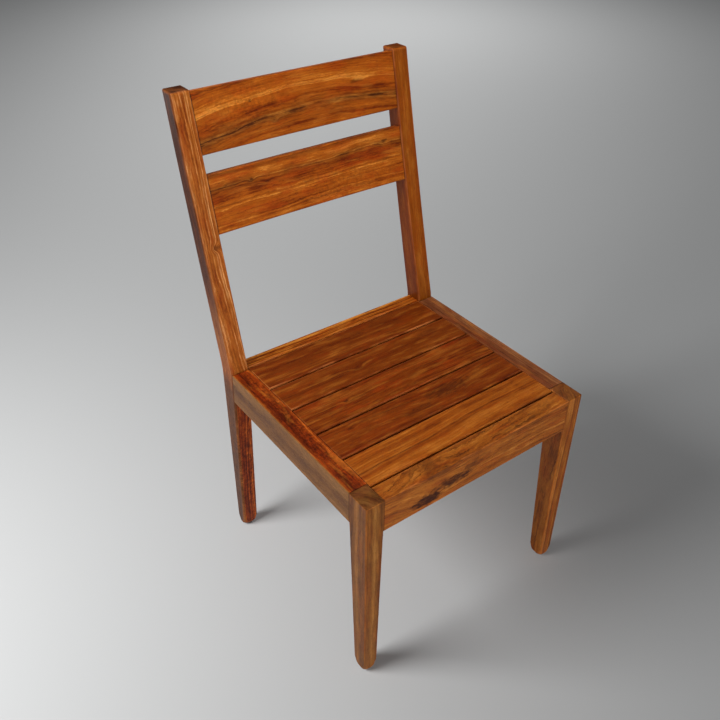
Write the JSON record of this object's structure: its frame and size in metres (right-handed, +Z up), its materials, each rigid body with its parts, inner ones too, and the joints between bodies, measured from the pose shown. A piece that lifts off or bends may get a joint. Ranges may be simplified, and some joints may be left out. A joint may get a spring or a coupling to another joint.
{
  "type": "dining chair",
  "caption": "Hardwood dining chair with tapered front legs, raked back posts, two wide back slats and a flush plank seat between rails.",
  "frame": {"origin": "bottom centre of the whole chair, on the floor plane under its foot glides", "axes": "+X to the right of someone facing the chair's front, -Y the way the sitter faces, +Z up"},
  "size_m": [0.512, 0.596, 0.97],
  "materials": {
    "leg_wood": "satin lacquer",
    "post_wood": "satin lacquer",
    "rail_wood": "satin lacquer",
    "slat_wood": "satin lacquer",
    "plank_wood": "satin lacquer",
    "inner_wood": "unlacquered, sanded",
    "screw_steel": "zinc plated",
    "glide_nylon": "moulded, matt"
  },
  "bodies": {
    "root": {"front_leg_left": "leg_wood", "front_leg_right": "leg_wood", "rear_post_left": "post_wood", "rear_post_right": "post_wood", "front_rail": "rail_wood", "rear_rail": "rail_wood", "side_rail_left": "rail_wood", "side_rail_right": "rail_wood", "top_back_slat": "slat_wood", "lower_back_slat": "slat_wood", "seat_plank_1": "plank_wood", "seat_plank_2": "plank_wood", "seat_plank_3": "plank_wood", "seat_plank_4": "plank_wood", "seat_plank_5": "plank_wood", "seat_cleat_left": "inner_wood", "seat_cleat_right": "inner_wood", "corner_block_front_left": "inner_wood", "corner_block_front_right": "inner_wood", "corner_block_rear_left": "inner_wood", "corner_block_rear_right": "inner_wood", "seat_plank_screws": "screw_steel", "cleat_screws": "screw_steel", "corner_block_screws": "screw_steel", "foot_glides": "glide_nylon", "glide_nails": "screw_steel"}
  },
  "joints": []
}
